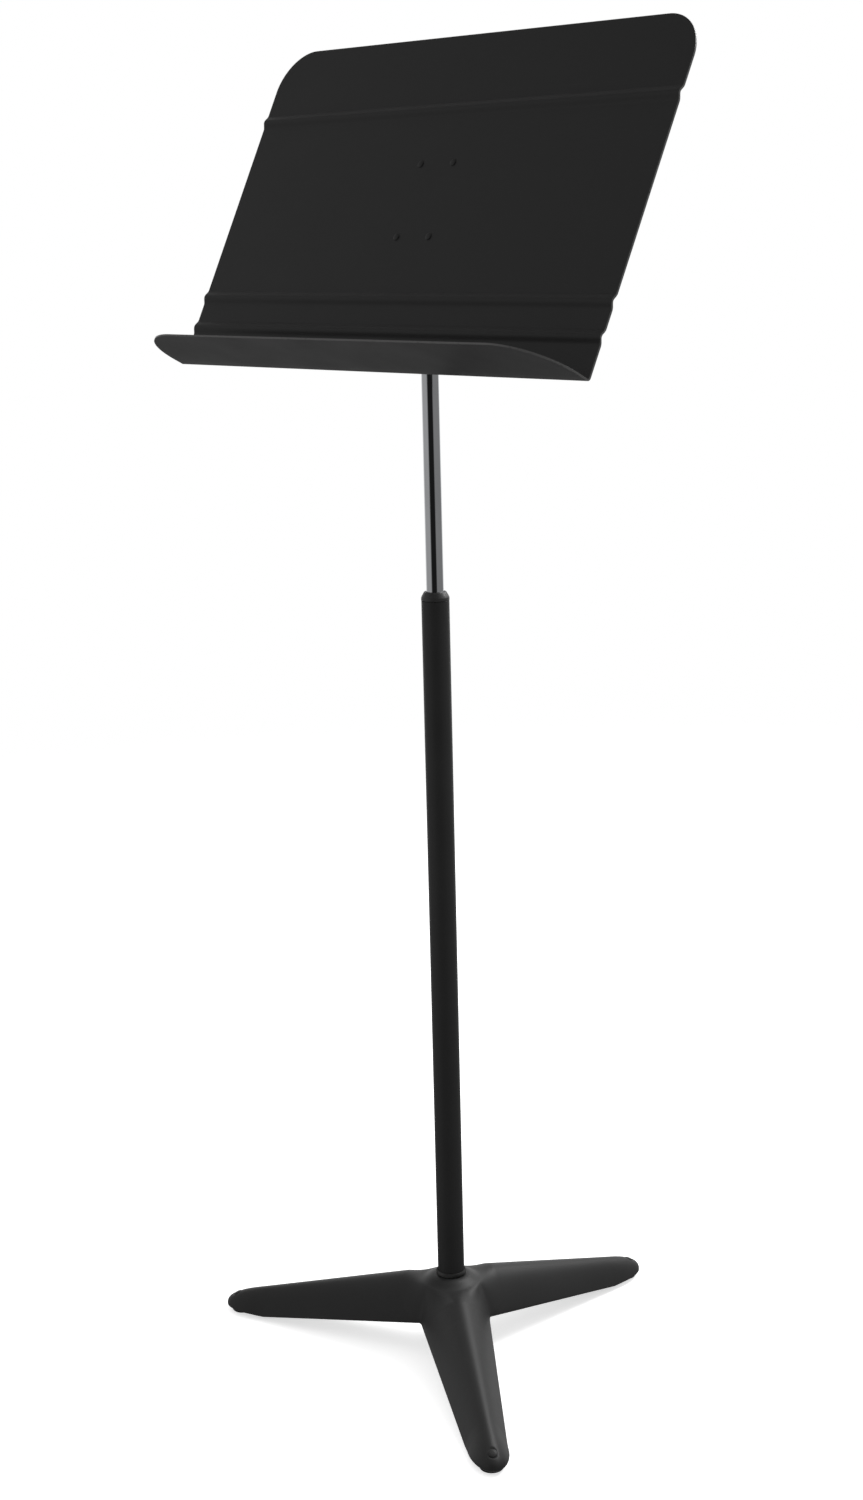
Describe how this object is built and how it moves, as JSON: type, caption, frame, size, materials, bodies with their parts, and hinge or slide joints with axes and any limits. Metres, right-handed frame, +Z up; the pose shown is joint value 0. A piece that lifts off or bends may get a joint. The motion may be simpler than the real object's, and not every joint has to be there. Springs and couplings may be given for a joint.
{
  "type": "music stand",
  "caption": "Black floor-standing music stand: a ribbed sheet desk with a deep lip tilts on a chrome tube that slides and turns in a column on a three-legged base.",
  "frame": {"origin": "on the floor, at the middle of the stand's box seen from above; the column's axis is 47.1 mm in front of it, at y = -0.0471", "axes": "+Z up along the column; -Y toward the player, the side the desk faces; +X to the player's right as the player faces the desk"},
  "size_m": [0.508, 0.3901, 1.2222],
  "materials": {
    "desk_black": "black satin powder coat on sheet aluminium",
    "tube_black": "black satin powder coat",
    "base_black": "black satin powder coat",
    "cap_black": "black moulded plastic",
    "chrome": "bright chrome plate",
    "zinc_steel": "zinc plated",
    "bare_steel": "bare steel",
    "spring_steel": "dark spring steel",
    "aluminium_rivet": "aluminium, black on the desk side",
    "nylon": "natural nylon",
    "fibre": "pressed fibre",
    "rubber": "black rubber"
  },
  "bodies": {
    "base": {"base_shell": "base_black", "foot_pad_a": "rubber", "foot_rivet_a": "base_black", "foot_pad_b": "rubber", "foot_rivet_b": "base_black", "foot_pad_c": "rubber", "foot_rivet_c": "base_black", "hub_ring": "rubber", "hub_socket": "bare_steel", "base_bolt": "zinc_steel", "base_washer": "zinc_steel", "base_lock_washer": "spring_steel", "clutch_spring_lower": "spring_steel", "clutch_spring_upper": "spring_steel", "outer_tube": "tube_black", "tube_cap": "cap_black", "tube_foot_plug": "bare_steel", "finger_clutch": "spring_steel"},
    "slider": {"guide_bush": "nylon"},
    "mast": {"inner_tube": "chrome", "bush_ring_lower": "spring_steel", "bush_ring_upper": "spring_steel", "tube_end_plug": "nylon", "pivot_head": "bare_steel", "head_pin": "spring_steel", "friction_washer_left": "fibre", "friction_washer_right": "fibre"},
    "desk_head": {"desk": "desk_black", "tilt_bracket": "base_black", "pivot_bolt": "zinc_steel", "pivot_nut": "zinc_steel", "flat_washer_left": "zinc_steel", "flat_washer_right": "zinc_steel", "spring_washer": "spring_steel", "desk_rivet_a": "aluminium_rivet", "desk_rivet_b": "aluminium_rivet", "desk_rivet_c": "aluminium_rivet", "desk_rivet_d": "aluminium_rivet"}
  },
  "joints": [
    {"name": "height", "type": "slide", "parent": "base", "child": "slider", "axis": [0, 0, 1], "range_m": [-0.24, 0.28]},
    {"name": "swivel", "type": "hinge", "parent": "slider", "child": "mast", "pos_m": [0, -0.0471, 0.39], "axis": [0, 0, 1], "continuous": true},
    {"name": "tilt", "type": "hinge", "parent": "mast", "child": "desk_head", "pos_m": [0, -0.04709, 1.01901], "axis": [-1, 0, 0], "range_deg": [-27, 62.5]}
  ]
}
